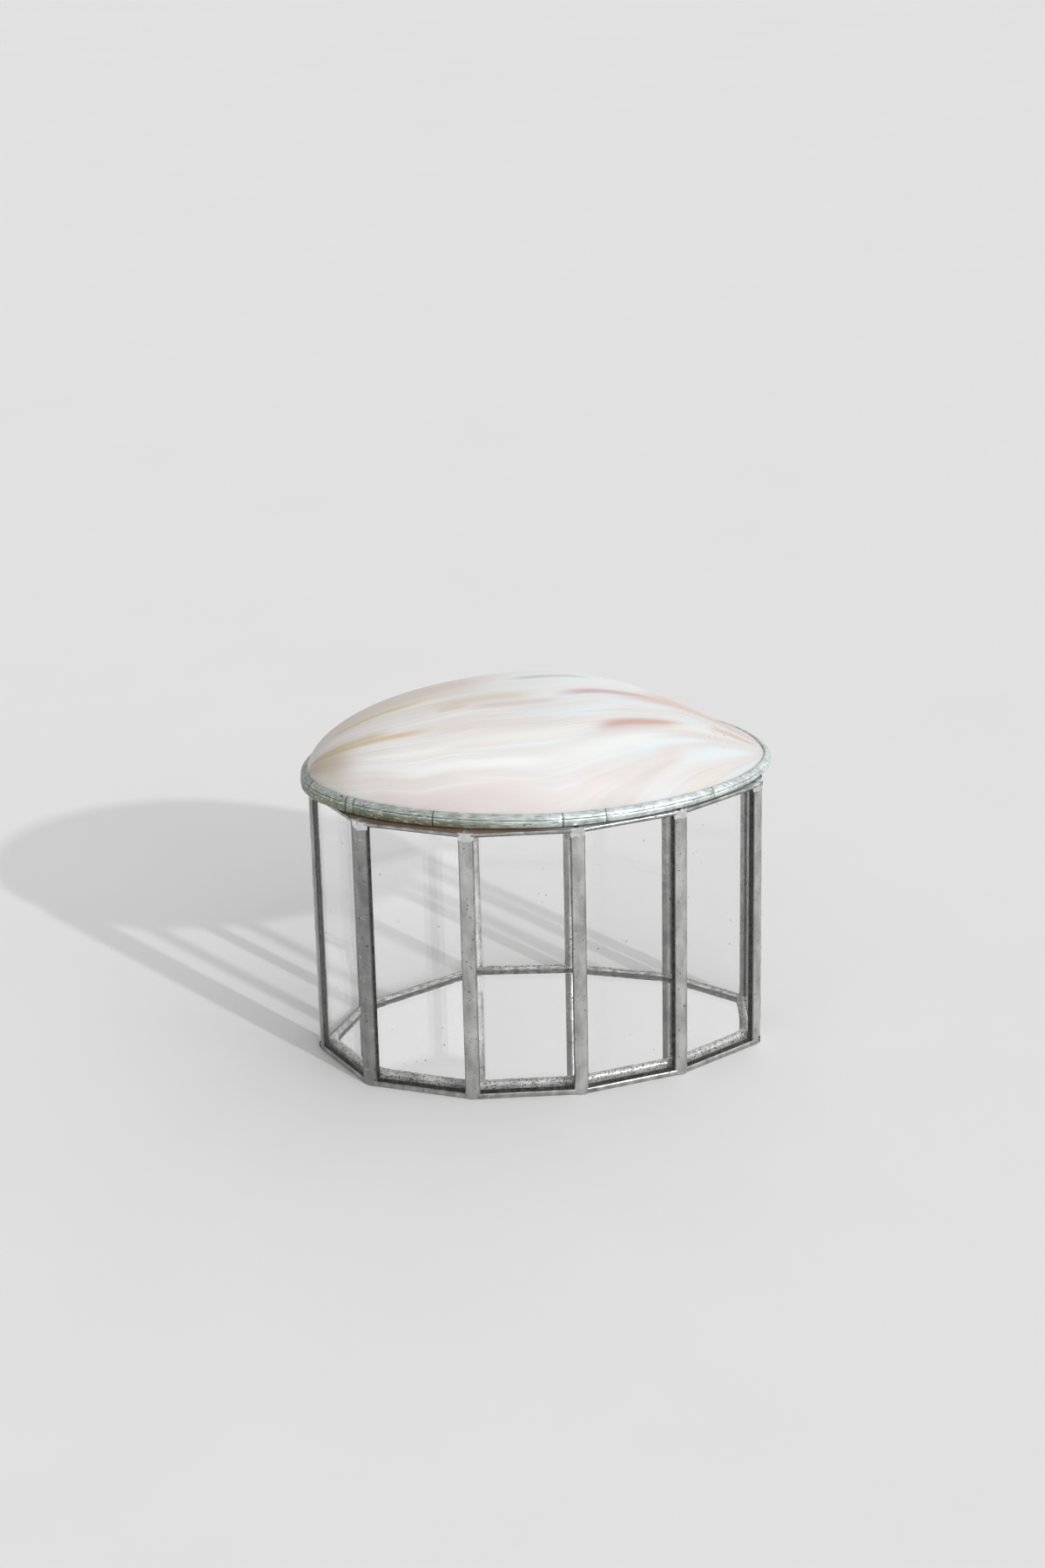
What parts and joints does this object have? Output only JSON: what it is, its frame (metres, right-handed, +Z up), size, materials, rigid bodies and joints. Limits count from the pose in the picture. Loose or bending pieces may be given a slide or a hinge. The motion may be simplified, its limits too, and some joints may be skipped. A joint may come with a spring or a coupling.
{
  "type": "jewelry box",
  "caption": "Oval clear glass trinket box with a mirror floor, soldered corner posts and a hinged domed shell lid in a tinned rim.",
  "frame": {"origin": "on the surface that the box stands on, below the middle of the whole object's length and depth", "axes": "+X along the box to the right seen from the front, -Y towards the front, +Z up; the hinge is parallel to X at the back"},
  "size_m": [0.1235, 0.0802, 0.0992],
  "materials": {
    "clear_glass": "polished",
    "mirror_glass": "polished",
    "mirror_silver": "polished",
    "copper_foil": "satin",
    "tinned_solder": "satin",
    "brass": "satin",
    "nacre": "polished"
  },
  "bodies": {
    "box": {"mirror_glass": "mirror_glass", "mirror_backing": "mirror_silver", "mirror_foil": "copper_foil", "pane_left_front": "clear_glass", "pane_front_left": "clear_glass", "pane_front": "clear_glass", "pane_front_right": "clear_glass", "pane_right_front": "clear_glass", "pane_right": "clear_glass", "pane_right_back": "clear_glass", "pane_back_right": "clear_glass", "pane_back_hinge": "clear_glass", "pane_back_left": "clear_glass", "pane_left": "clear_glass", "foil_left_front": "copper_foil", "foil_front_left": "copper_foil", "foil_front": "copper_foil", "foil_front_right": "copper_foil", "foil_right_front": "copper_foil", "foil_right": "copper_foil", "foil_right_back": "copper_foil", "foil_back_right": "copper_foil", "foil_back_hinge": "copper_foil", "foil_back_left": "copper_foil", "foil_left": "copper_foil", "post_left": "tinned_solder", "post_front_left": "tinned_solder", "post_front_middle_left": "tinned_solder", "post_front_middle_right": "tinned_solder", "post_front_right": "tinned_solder", "post_right_front": "tinned_solder", "post_right_back": "tinned_solder", "post_back_right": "tinned_solder", "post_hinge_right": "tinned_solder", "post_hinge_left": "tinned_solder", "post_back_left": "tinned_solder", "bottom_seam": "tinned_solder", "floor_seam": "tinned_solder", "top_tin_outside": "tinned_solder", "top_tin_inside": "tinned_solder", "hinge_rod": "brass", "hinge_leg_solder": "tinned_solder"},
    "lid": {"shell_dome": "nacre", "lid_rim_foil": "copper_foil", "lid_rim": "tinned_solder", "hinge_tube": "brass", "hinge_tube_solder": "tinned_solder"}
  },
  "joints": [
    {"name": "lid_hinge", "type": "hinge", "parent": "box", "child": "lid", "pos_m": [-0.0051, 0.03759, 0.07525], "axis": [-1, 0, 0], "range_deg": [0, 100]}
  ]
}
